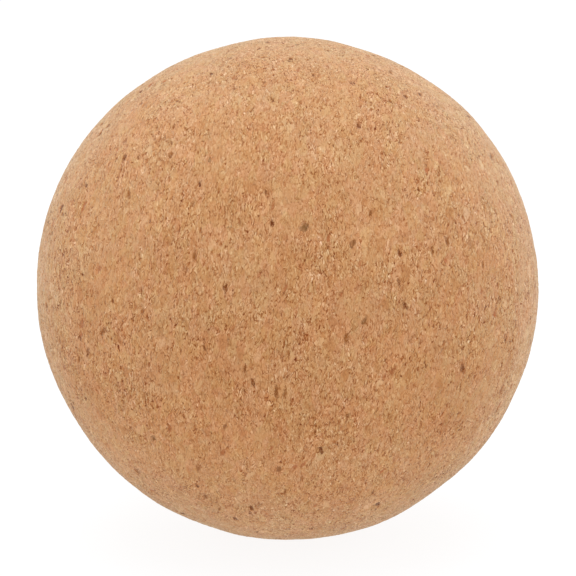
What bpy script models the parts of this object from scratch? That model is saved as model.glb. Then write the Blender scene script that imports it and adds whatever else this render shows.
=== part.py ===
"""Cork massage ball: one solid ball turned from agglomerated cork.

Frame: metres, +Z up, origin at the ball's centre.
"""
import bpy

BALL_DIAMETER = 0.100
BALL_RADIUS = BALL_DIAMETER / 2
SPHERE_SUBDIVISIONS = 5

CORK_COLOUR = (0.58, 0.33, 0.14, 1.0)
CORK_ROUGHNESS = 0.85


def clear_scene():
    for obj in list(bpy.data.objects):
        bpy.data.objects.remove(obj, do_unlink=True)


def new_collection(name):
    collection = bpy.data.collections.new(name)
    bpy.context.scene.collection.children.link(collection)
    return collection


def cork_material():
    """Bare agglomerated cork: warm tan, rough and not metallic."""
    material = bpy.data.materials.new("agglomerated_cork")
    material.use_nodes = True
    shader = material.node_tree.nodes["Principled BSDF"]
    shader.inputs["Base Color"].default_value = CORK_COLOUR
    shader.inputs["Roughness"].default_value = CORK_ROUGHNESS
    shader.inputs["Metallic"].default_value = 0.0
    return material


def make_ball(collection):
    """The whole object: a solid ball with evenly sized facets, shaded smooth."""
    bpy.ops.mesh.primitive_ico_sphere_add(
        subdivisions=SPHERE_SUBDIVISIONS, radius=BALL_RADIUS, location=(0.0, 0.0, 0.0)
    )
    ball = bpy.context.object
    ball.name = "cork_ball"
    ball.data.name = "cork_ball"
    ball.data.shade_smooth()
    ball.data.materials.append(cork_material())
    for owner in list(ball.users_collection):
        owner.objects.unlink(ball)
    collection.objects.link(ball)
    return ball


def main():
    clear_scene()
    make_ball(new_collection("massage_ball"))


main()
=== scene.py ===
"""Cork massage ball: its surface, the studio light and the camera.

The ball is one solid piece of agglomerated cork. Cork granules and a little binder are pressed
into a block, which flattens the granules along the pressing axis, and the ball is turned from
that block and sanded by hand, which leaves it a little out of round. One set of procedural
fields describes the grain: geometry nodes use it to shape the mesh, and shader nodes use it to
colour the same places.

Metres, +Z up, origin at the ball's centre, like the CAD frame. Grain sizes are in millimetres.
"""
import math
from types import SimpleNamespace

import bpy
import numpy as np
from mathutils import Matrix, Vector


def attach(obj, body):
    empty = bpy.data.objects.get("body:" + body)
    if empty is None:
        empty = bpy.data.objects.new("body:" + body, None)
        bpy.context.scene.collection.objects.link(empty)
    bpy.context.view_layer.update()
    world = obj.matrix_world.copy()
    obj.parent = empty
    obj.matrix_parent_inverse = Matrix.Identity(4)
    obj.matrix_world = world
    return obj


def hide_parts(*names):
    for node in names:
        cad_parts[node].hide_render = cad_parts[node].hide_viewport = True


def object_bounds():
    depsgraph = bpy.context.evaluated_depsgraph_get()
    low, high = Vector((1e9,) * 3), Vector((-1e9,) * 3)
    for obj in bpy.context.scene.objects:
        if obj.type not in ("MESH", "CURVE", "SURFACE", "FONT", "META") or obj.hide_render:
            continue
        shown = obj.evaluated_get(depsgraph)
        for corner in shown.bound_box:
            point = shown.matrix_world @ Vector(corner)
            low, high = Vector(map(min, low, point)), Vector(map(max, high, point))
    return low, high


MM = 0.001

# The pressed block
PRESS_TILT = math.radians(4.0)   # the pressing axis leans this much from +X, down on the right
PRESS_SQUEEZE = 0.62             # granule thickness along the pressing axis, over its width across
BEND_SIZE = 1.1                  # wavelength of the wobble in every outline
BEND = 0.8                       # depth of that wobble

# Chips, and the seams that open between them
CHIP_SIZE = 1.0
CHIP_SQUEEZE = 0.75              # chips lie flatter than whole granules
SEAM_GAP = 0.20                  # widest gap between two chips
SEAM_CHANGE = 0.7                # distance over which a gap opens and closes
SEAM_OPENS = (0.48, 0.80)        # noise values where a gap starts to open and where it is widest
SEAM_EDGE = (-0.03, 0.07)        # how far inside the gap its shade starts and is full

# Fibres in the chips, the creases along them, and the finest grain
FIBRE_SIZE = 0.30
FIBRE_SHAPE = (1.0, 0.34, 0.22)  # the fibres are longer on the axes with the smaller numbers
FIBRE_LEAN = math.radians(90)    # fibres lean up to half of this out of the pressed layers
CREASE_SIZE = 0.50
CREASE_MIDDLE = 0.50             # a crease follows this value of its noise
CREASE_WIDTH = 0.07              # and fades out this far from the value
LIP_MIDDLE = 0.605               # a raised lip runs beside the crease
CREASE_STRENGTH = (0.30, 0.60, 0.3, 1.0)   # noise from .. to, giving strength from .. to
FINE_SIZE = 0.40
FINE_SHAPE = (2.5, 1.0, 0.5)

# Whole granules and flecks of bark: spots spread over the chips
GRANULES = {
    "spacing": 2.6,
    "share": 0.45,               # share of the places that hold a spot
    "reach": 1.5,                # radius of the largest spot
    "shift": (3.0, 57.0, 29.0),  # sets this pattern apart from the others
}
BARK = {
    "spacing": 2.4,
    "share": 0.13,
    "reach": 1.0,
    "shift": (31.0, 7.0, 13.0),
}
SPOT_SMALLEST = 0.35             # radius of the smallest spot, over the largest
SPOT_SLIMMEST = 2.2              # how many times narrower the slimmest spot is than the roundest
SPOT_STRETCH = 0.7               # below 1, every spot is longer than it is wide
SPOT_LEAN = math.radians(120)    # a spot turns up to half of this each way out of its layer
SPOT_EDGE = 0.12                 # distance over which a spot fades in
RAGGED = (0.6, 1.4, -0.6, 0.6)   # fibre and fine noise from .. to, moving outlines from .. to

# Slow changes over the ball
CLOUD_SIZE = 11.0                # patches of tone, colour and looseness
UNEVEN_SIZE = 45.0               # the hand-sanded surface's slow rise and fall
UNEVEN_RANGE = (0.3, 0.7)        # noise values at its highest and lowest places

# Tone, in steps of the tone ramp
MIDDLE_TONE = 0.575              # where the field's middle falls on the tone ramp
CHIP_TONE = 0.14
FIBRE_TONE = 0.42
FINE_TONE = 0.385
# seams: darker partly for the binder in them, partly as painted shade in the gap
SEAM_BINDER_AND_SHADE_TONE = 0.185
# creases: darker as painted shade in the crease
CREASE_PAINTED_SHADE = 0.23
# lips: lighter as a painted highlight beside the crease
LIP_PAINTED_HIGHLIGHT = 0.155
GRANULE_TONE = 0.25
GRANULE_BALANCE = 0.45           # granules above this random number are lighter than their place
CLOUD_TONE = 0.20

# Looseness: how strongly the grit, with its painted shade and highlights, shows
LOOSE_IN_GRANULE = 0.45          # inside a whole granule, over the looseness around it
LOOSE_IN_CHIP = (0.45, 1.45)     # from the tightest chip to the loosest
LOOSE_IN_CLOUD = (0.3, 0.7, 0.55, 1.45)    # noise from .. to, giving looseness from .. to

# Colours, as 0-255 display values, and tints, as factors on them
BODY_COLOURS = [
    (0.00, (111, 42, 8)),
    (0.25, (153, 89, 42)),
    (0.50, (191, 134, 86)),
    (0.75, (215, 168, 122)),
    (1.00, (240, 202, 163)),
]
BARK_COLOURS = [
    (0.00, (104, 42, 6)),
    (0.30, (124, 64, 20)),
    (0.55, (148, 88, 38)),
    (0.75, (182, 110, 68)),
    (0.90, (170, 100, 56)),
    (1.00, (110, 82, 44)),
]
BARK_WEAR = (0.45, 0.65, 1.0, 0.6)         # fibre from .. to, with bark's cover from .. to
WARM_TINT = (1.026, 0.971, 0.912, 1)
PALE_TINT = (0.982, 1.013, 1.053, 1)
PALENESS = {                     # share of the pale tint: where it starts, and what each field adds
    "start": -0.80,
    "chip": 0.16,
    "granule": 0.56,
    "cloud": 1.85,
}
ROSE_TINT = (1.012, 0.979, 1.024, 1)
OLIVE_TINT = (0.988, 1.021, 0.976, 1)

# Finish: open, sanded pores reflect little, and their nap is seen edge-on
GLOSS = 0.15
ROUGHNESS = (0.2, 0.8, 0.78, 0.95)         # fine noise from .. to, giving roughness from .. to
NAP_WEIGHT = 0.32
NAP_ROUGHNESS = 0.38
NAP_TINT = (0.74, 1.0, 0.87, 1.0)

# Relief of the sanded surface, in millimetres
GRANULE_STEP = 0.04
CHIP_STEP = 0.05
SEAM_DEPTH = 0.10
BARK_DEPTH = 0.12
CREASE_DEPTH = 0.04
LIP_HEIGHT = 0.02
FIBRE_HEIGHT = 0.04
FINE_HEIGHT = 0.03
UNEVEN_DEPTH = 0.70

MESH_CELLS = 384                 # cells from the pole to the equator
SNUG = 0.9999                    # the ball's reach over the CAD box's, so that rounding stays inside

# Camera and light
CAMERA_FILL = 0.8735             # the ball's width over the picture's
CAMERA_HEIGHT = 12.0             # degrees above the horizon
LENS = 150.0
SENSOR = 36.0
WORLD_LIGHT = 1.0
FLOOR_SIZE = 6.0
FLOOR_GREY = 0.12
FLOOR_GLOW = 0.90
COOL = (0.78, 1.0, 1.25)         # the overhead light is daylight, cooler than the room
WHITE = (1.0, 1.0, 1.0)
SOFTBOXES = {                    # place and width in metres, power in watts, colour
    "top_softbox": ((0.0, 0.0, 0.9), 0.9, 4.7, COOL),
    "left_softbox": ((-0.52, 0.52, 0.52), 0.6, 0.7, WHITE),
    "right_softbox": ((0.65, 0.65, 0.2), 0.4, 1.6, WHITE),
}


def srgb(*values):
    """A colour given as 0-255 display values, in the linear values that nodes take."""
    parts = [value / 255 for value in values]
    return tuple(v / 12.92 if v <= 0.04045 else ((v + 0.055) / 1.055) ** 2.4 for v in parts)


class Nodes:
    """Short calls that add nodes to one tree, the same for shader and geometry trees."""

    def __init__(self, tree):
        self.tree = tree

    def add(self, kind, inputs=(), **settings):
        node = self.tree.nodes.new(kind)
        for name, value in settings.items():
            setattr(node, name, value)
        for name, value in dict(inputs).items():
            self.feed(node.inputs[name], value)
        return node

    def feed(self, socket, value):
        if isinstance(value, bpy.types.NodeSocket):
            self.tree.links.new(value, socket)
        else:
            socket.default_value = value

    def math(self, operation, *values):
        return self.add("ShaderNodeMath", enumerate(values), operation=operation).outputs[0]

    def total(self, first, *others):
        for other in others:
            first = self.math("ADD", first, other)
        return first

    def times(self, first, *others):
        for other in others:
            first = self.math("MULTIPLY", first, other)
        return first

    def minus(self, value, less):
        return self.math("SUBTRACT", value, less)

    def vector(self, operation, *values):
        return self.add("ShaderNodeVectorMath", enumerate(values), operation=operation).outputs[0]

    def scaled(self, vector, factor):
        node = self.add("ShaderNodeVectorMath", {0: vector, "Scale": factor}, operation="SCALE")
        return node.outputs[0]

    def length(self, vector):
        return self.add("ShaderNodeVectorMath", {0: vector}, operation="LENGTH").outputs["Value"]

    def turned(self, vector, angles):
        inputs = {"Vector": vector, "Rotation": angles}
        return self.add("ShaderNodeVectorRotate", inputs, rotation_type="EULER_XYZ").outputs[0]

    def split(self, vector):
        return self.add("ShaderNodeSeparateXYZ", {0: vector}).outputs

    def noise(self, at, size, detail=2.0, roughness=0.5):
        inputs = {"Vector": at, "Scale": 1 / size, "Detail": detail, "Roughness": roughness}
        return self.add("ShaderNodeTexNoise", inputs).outputs

    def cells(self, at, size, feature="F1"):
        inputs = {"Vector": at, "Scale": 1 / size}
        return self.add("ShaderNodeTexVoronoi", inputs, feature=feature).outputs

    def remap(self, value, low, high, to_low=0.0, to_high=1.0, curve="SMOOTHSTEP"):
        inputs = {"Value": value, "From Min": low, "From Max": high, "To Min": to_low, "To Max": to_high}
        return self.add("ShaderNodeMapRange", inputs, interpolation_type=curve).outputs[0]

    def between(self, value, low, high):
        """From low to high as the value, a random number, goes from 0 to 1."""
        return self.remap(value, 0.0, 1.0, low, high, "LINEAR")

    def band(self, value, middle, width):
        """1 where the value is at the middle of the band, falling to 0 at its width."""
        return self.remap(self.math("ABSOLUTE", self.minus(value, middle)), 0.0, width, 1.0, 0.0)

    def ramp(self, value, stops):
        node = self.add("ShaderNodeValToRGB", {0: value})
        elements = node.color_ramp.elements
        while len(elements) < len(stops):
            elements.new(0.5)
        for element, (place, colour) in zip(elements, stops):
            element.position = place
            element.color = (*srgb(*colour), 1.0)
        return node.outputs[0]

    def blend(self, factor, a, b):
        """A mix of two colours. A Mix node numbers its colour sockets after those of other kinds."""
        node = self.add("ShaderNodeMix", data_type="RGBA")
        self.feed(node.inputs[0], factor)
        self.feed(node.inputs[6], a)
        self.feed(node.inputs[7], b)
        return node.outputs[2]


def random_turn(n, cell, lean):
    """Euler angles picked by a cell: any turn about X, the pressing axis, and a lean out of its layer."""
    lot = n.vector("SUBTRACT", cell["Color"], (0.5, 0.5, 0.5))
    return n.vector("MULTIPLY", lot, (math.tau, lean, lean))


def spots(n, place, ragged, spacing, share, reach, shift):
    """Ragged spots, one in a random share of the cells. Each has its own size, turn and slimness.
    Gives the spots' mask and the cell's three random numbers."""
    at = n.vector("ADD", place, shift)
    cell = n.cells(at, spacing)
    lot = n.split(cell["Color"])
    away = n.turned(n.vector("SUBTRACT", at, cell["Position"]), random_turn(n, cell, SPOT_LEAN))
    slimness = n.between(lot[2], 1.0, SPOT_SLIMMEST)
    shape = n.add("ShaderNodeCombineXYZ", {0: slimness, 1: 1.0, 2: SPOT_STRETCH}).outputs[0]
    distance = n.length(n.vector("MULTIPLY", away, shape))
    radius = n.remap(lot[0], 1 - share, 1.0, SPOT_SMALLEST * reach, reach, "LINEAR")
    inside = n.total(n.minus(radius, distance), ragged)
    chosen = n.math("GREATER_THAN", lot[0], 1 - share)
    return SimpleNamespace(mask=n.times(chosen, n.remap(inside, 0.0, SPOT_EDGE)), lot=lot)


def cork_grain(n, position):
    """The grain at a point of the ball, from the point's direction alone, so that the fields agree
    before and after the surface is moved in or out."""
    ball = n.scaled(n.vector("NORMALIZE", position), RADIUS / MM)
    level = n.turned(ball, (0.0, -PRESS_TILT, 0.0))
    pressed = n.vector("MULTIPLY", level, (1 / PRESS_SQUEEZE, 1, 1))
    bend = n.vector("SUBTRACT", n.noise(pressed, BEND_SIZE, detail=3.0)["Color"], (0.5, 0.5, 0.5))
    bent = n.vector("ADD", pressed, n.scaled(bend, BEND))
    flat = n.vector("MULTIPLY", bent, (1 / CHIP_SQUEEZE, 1, 1))

    chip = n.cells(flat, CHIP_SIZE)
    chip_edge = n.times(n.cells(flat, CHIP_SIZE, "DISTANCE_TO_EDGE")["Distance"], CHIP_SIZE)
    change = n.noise(pressed, SEAM_CHANGE, detail=1.0)["Fac"]
    opening = n.remap(change, *SEAM_OPENS, 0.0, SEAM_GAP)

    along = n.turned(bent, random_turn(n, chip, FIBRE_LEAN))
    stretched = n.vector("MULTIPLY", along, FIBRE_SHAPE)
    fibre = n.noise(stretched, FIBRE_SIZE, detail=1.0)["Fac"]
    fold = n.noise(stretched, CREASE_SIZE, detail=1.0)
    strength = n.remap(n.split(fold["Color"])[1], *CREASE_STRENGTH)
    drawn = n.vector("MULTIPLY", along, FINE_SHAPE)
    fine = n.noise(drawn, FINE_SIZE, detail=2.0, roughness=0.6)["Fac"]
    ragged = n.remap(n.total(fine, fibre), *RAGGED, "LINEAR")

    cloud = n.noise(ball, CLOUD_SIZE, detail=4.0, roughness=0.6)["Color"]
    uneven = n.noise(ball, UNEVEN_SIZE, detail=4.0)["Fac"]

    return SimpleNamespace(
        chip=n.split(chip["Color"]),
        seam=n.remap(n.minus(opening, chip_edge), *SEAM_EDGE),
        fibre=fibre,
        crease=n.times(n.band(fold["Fac"], CREASE_MIDDLE, CREASE_WIDTH), strength),
        lip=n.times(n.band(fold["Fac"], LIP_MIDDLE, CREASE_WIDTH), strength),
        fine=fine,
        granule=spots(n, bent, ragged, **GRANULES),
        bark=spots(n, bent, ragged, **BARK),
        cloud=n.split(cloud),
        uneven=n.remap(uneven, *UNEVEN_RANGE),
    )


def relief(n, grain):
    """How far the surface lies below the ball's full radius, in millimetres, never less than 0."""
    return n.total(
        LIP_HEIGHT + FIBRE_HEIGHT,
        n.times(grain.lip, -LIP_HEIGHT),
        n.times(grain.fibre, -FIBRE_HEIGHT),
        n.times(grain.crease, CREASE_DEPTH),
        n.times(grain.granule.mask, GRANULE_STEP),
        n.times(grain.chip[2], CHIP_STEP),
        n.times(grain.seam, SEAM_DEPTH),
        n.times(grain.bark.mask, BARK_DEPTH),
        n.times(grain.uneven, UNEVEN_DEPTH),
    )


def octahedral_ball(name, cells):
    """A closed ball of even quads, made by folding a square sheet over an octahedron. The sheet
    itself is the UV map, so the map uses the whole square and has no islands."""
    across = 2 * cells + 1
    line = np.linspace(-1.0, 1.0, across)
    u, v = (axis.ravel() for axis in np.meshgrid(line, line))
    height = 1.0 - abs(u) - abs(v)
    folded = height < 0
    x = np.where(folded, (1.0 - abs(v)) * np.sign(u), u)
    y = np.where(folded, (1.0 - abs(u)) * np.sign(v), v)
    points = np.sin(np.stack([x, y, height], axis=1) * math.pi / 2)   # evens out the spacing
    points *= RADIUS / np.linalg.norm(points, axis=1, keepdims=True)

    # The sheet's edges meet, so their points are merged
    _, first, merged = np.unique(points.round(decimals=9), axis=0, return_index=True, return_inverse=True)
    merged = merged.ravel()
    corner = (np.arange(2 * cells)[:, None] * across + np.arange(2 * cells)).reshape(-1, 1)
    sheet = corner + np.array([0, 1, across + 1, across])

    mesh = bpy.data.meshes.new(name)
    mesh.from_pydata(points[first], [], merged[sheet], shade_flat=False)
    unfolded = mesh.uv_layers.new(name="OFBake")
    uv = np.stack([u, v], axis=1)[sheet.ravel()] / 2 + 0.5
    unfolded.data.foreach_set("uv", uv.ravel())
    ball = bpy.data.objects.new(name, mesh)
    bpy.context.collection.objects.link(ball)
    return ball


def carve_grain(ball):
    """Moves the surface in along its radius by the grain's relief, keeps the result as mesh, and
    scales it so that its widest place just reaches the CAD box."""
    tree = bpy.data.node_groups.new("cork_relief", "GeometryNodeTree")
    tree.is_modifier = True
    tree.interface.new_socket("Geometry", in_out="INPUT", socket_type="NodeSocketGeometry")
    tree.interface.new_socket("Geometry", in_out="OUTPUT", socket_type="NodeSocketGeometry")
    n = Nodes(tree)
    source = n.add("NodeGroupInput")
    position = n.add("GeometryNodeInputPosition").outputs[0]
    depth = relief(n, cork_grain(n, position))
    offset = n.scaled(n.vector("NORMALIZE", position), n.times(depth, -MM))
    moved = n.add("GeometryNodeSetPosition", {"Geometry": source.outputs[0], "Offset": offset})
    n.add("NodeGroupOutput", {0: moved.outputs[0]})

    carving = ball.modifiers.new("relief", "NODES")
    carving.node_group = tree
    view = bpy.context.evaluated_depsgraph_get()
    shaped = bpy.data.meshes.new_from_object(
        ball.evaluated_get(view), preserve_all_data_layers=True, depsgraph=view)
    ball.modifiers.clear()
    ball.data = shaped

    points = np.empty(3 * len(shaped.vertices), dtype=np.float32)
    shaped.vertices.foreach_get("co", points)
    shaped.vertices.foreach_set("co", points * (SNUG * RADIUS / abs(points).max()))
    shaped.update()


def body_colour(n, grain):
    """The cork's colour: grit, with binder and painted shade in seams, painted shade in creases and a
    painted highlight on lips, patches of tone, then slow changes of hue.
    """
    chip, granule, cloud = grain.chip, grain.granule, grain.cloud
    grit_and_painted_light = n.total(
        n.times(n.minus(chip[0], 0.5), CHIP_TONE),
        n.times(n.minus(grain.fibre, 0.5), FIBRE_TONE),
        n.times(n.minus(grain.fine, 0.5), FINE_TONE),
        # seams: binder and painted shade
        n.times(grain.seam, -SEAM_BINDER_AND_SHADE_TONE),
        # creases: painted shade
        n.times(grain.crease, -CREASE_PAINTED_SHADE),
        # lips: painted highlight
        n.times(grain.lip, LIP_PAINTED_HIGHLIGHT),
    )
    loose = n.times(
        n.between(granule.mask, 1.0, LOOSE_IN_GRANULE),
        n.between(chip[2], *LOOSE_IN_CHIP),
        n.remap(cloud[2], *LOOSE_IN_CLOUD, "LINEAR"),
    )
    tone = n.total(
        MIDDLE_TONE,
        n.times(grit_and_painted_light, loose),
        n.times(n.minus(granule.lot[1], GRANULE_BALANCE), granule.mask, GRANULE_TONE),
        n.times(n.minus(cloud[0], 0.5), CLOUD_TONE),
    )
    paleness = n.total(
        PALENESS["start"],
        n.times(chip[1], PALENESS["chip"]),
        n.times(granule.lot[2], PALENESS["granule"]),
        n.times(cloud[1], PALENESS["cloud"]),
    )
    body = n.ramp(tone, BODY_COLOURS)
    body = n.vector("MULTIPLY", body, n.blend(paleness, WARM_TINT, PALE_TINT))
    return n.vector("MULTIPLY", body, n.blend(grain.bark.lot[2], ROSE_TINT, OLIVE_TINT))


def cork_material():
    """Bare cork: the grain's colours with their painted shade and highlights, a fine bump, little gloss
    and a soft nap.
    """
    material = bpy.data.materials.new("agglomerated_cork")
    material.use_nodes = True
    tree = material.node_tree
    tree.nodes.clear()
    n = Nodes(tree)
    grain = cork_grain(n, n.add("ShaderNodeTexCoord").outputs["Object"])

    bark_cover = n.times(grain.bark.mask, n.remap(grain.fibre, *BARK_WEAR))
    bark_colour = n.ramp(grain.bark.lot[1], BARK_COLOURS)
    height = n.total(
        n.times(grain.fine, FINE_HEIGHT),
        n.times(grain.fibre, FIBRE_HEIGHT),
        n.times(grain.crease, -CREASE_DEPTH),
        n.times(grain.lip, LIP_HEIGHT),
    )
    surface = n.add("ShaderNodeBsdfPrincipled", {
        "Base Color": n.blend(bark_cover, body_colour(n, grain), bark_colour),
        "Roughness": n.remap(grain.fine, *ROUGHNESS, "LINEAR"),
        "Normal": n.add("ShaderNodeBump", {"Height": height, "Distance": MM}).outputs[0],
        "Specular IOR Level": GLOSS,
        "Sheen Weight": NAP_WEIGHT,
        "Sheen Roughness": NAP_ROUGHNESS,
        "Sheen Tint": NAP_TINT,
    })
    n.add("ShaderNodeOutputMaterial", {0: surface.outputs[0]})
    return material


def make_ball():
    """The carved and coloured ball, which stands for the plain CAD ball."""
    ball = octahedral_ball("cork_ball_surface", MESH_CELLS)
    carve_grain(ball)
    ball.data.materials.append(cork_material())
    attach(ball, "root")
    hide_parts("cork_ball")


def make_floor():
    """A plain white floor that glows, so that only the ball's contact shadow shows on it."""
    bpy.ops.mesh.primitive_plane_add(size=FLOOR_SIZE, location=(0, 0, -RADIUS))
    floor = bpy.context.object
    floor.name = "studio_floor"
    material = bpy.data.materials.new("studio_white")
    material.use_nodes = True
    surface = material.node_tree.nodes["Principled BSDF"]
    surface.inputs["Base Color"].default_value = (FLOOR_GREY, FLOOR_GREY, FLOOR_GREY, 1)
    surface.inputs["Roughness"].default_value = 1.0
    surface.inputs["Specular IOR Level"].default_value = 0.0
    surface.inputs["Emission Color"].default_value = (*WHITE, 1)
    surface.inputs["Emission Strength"].default_value = FLOOR_GLOW
    floor.data.materials.append(material)


def make_world():
    """Even white light from all round."""
    world = bpy.data.worlds.new("studio")
    world.use_nodes = True
    background = world.node_tree.nodes["Background"]
    background.inputs["Color"].default_value = (*WHITE, 1)
    background.inputs["Strength"].default_value = WORLD_LIGHT
    bpy.context.scene.world = world


def make_softbox(name, place, width, watts, colour):
    """A square light that faces the ball's centre."""
    light = bpy.data.lights.new(name, "AREA")
    light.size = width
    light.energy = watts
    light.color = colour
    softbox = bpy.data.objects.new(name, light)
    softbox.location = place
    softbox.rotation_euler = (-softbox.location).to_track_quat("-Z", "Y").to_euler()
    bpy.context.collection.objects.link(softbox)


def make_camera():
    """Fills the frame with the ball, seen from slightly above through a long lens."""
    lens = bpy.data.cameras.new("camera")
    lens.sensor_width = SENSOR
    lens.lens = LENS
    spread = CAMERA_FILL * SENSOR / 2 / LENS   # tangent of the ball's half angle
    distance = RADIUS * math.sqrt(1 + 1 / spread ** 2)
    camera = bpy.data.objects.new("camera", lens)
    height = math.radians(CAMERA_HEIGHT)
    camera.location = (0, -distance * math.cos(height), distance * math.sin(height))
    camera.rotation_euler = (math.radians(90) - height, 0, 0)
    bpy.context.collection.objects.link(camera)
    bpy.context.scene.camera = camera


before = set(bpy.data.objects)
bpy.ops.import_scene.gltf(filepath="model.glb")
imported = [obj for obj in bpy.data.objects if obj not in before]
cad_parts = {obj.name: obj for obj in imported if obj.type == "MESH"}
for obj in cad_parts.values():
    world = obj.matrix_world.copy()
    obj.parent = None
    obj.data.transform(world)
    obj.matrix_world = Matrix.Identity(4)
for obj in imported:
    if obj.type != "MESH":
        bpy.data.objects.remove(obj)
cad_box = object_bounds()
RADIUS = (cad_box[1].z - cad_box[0].z) / 2

make_ball()
make_floor()
make_world()
for name, setting in SOFTBOXES.items():
    make_softbox(name, *setting)
make_camera()
bpy.context.scene.view_settings.view_transform = "Standard"
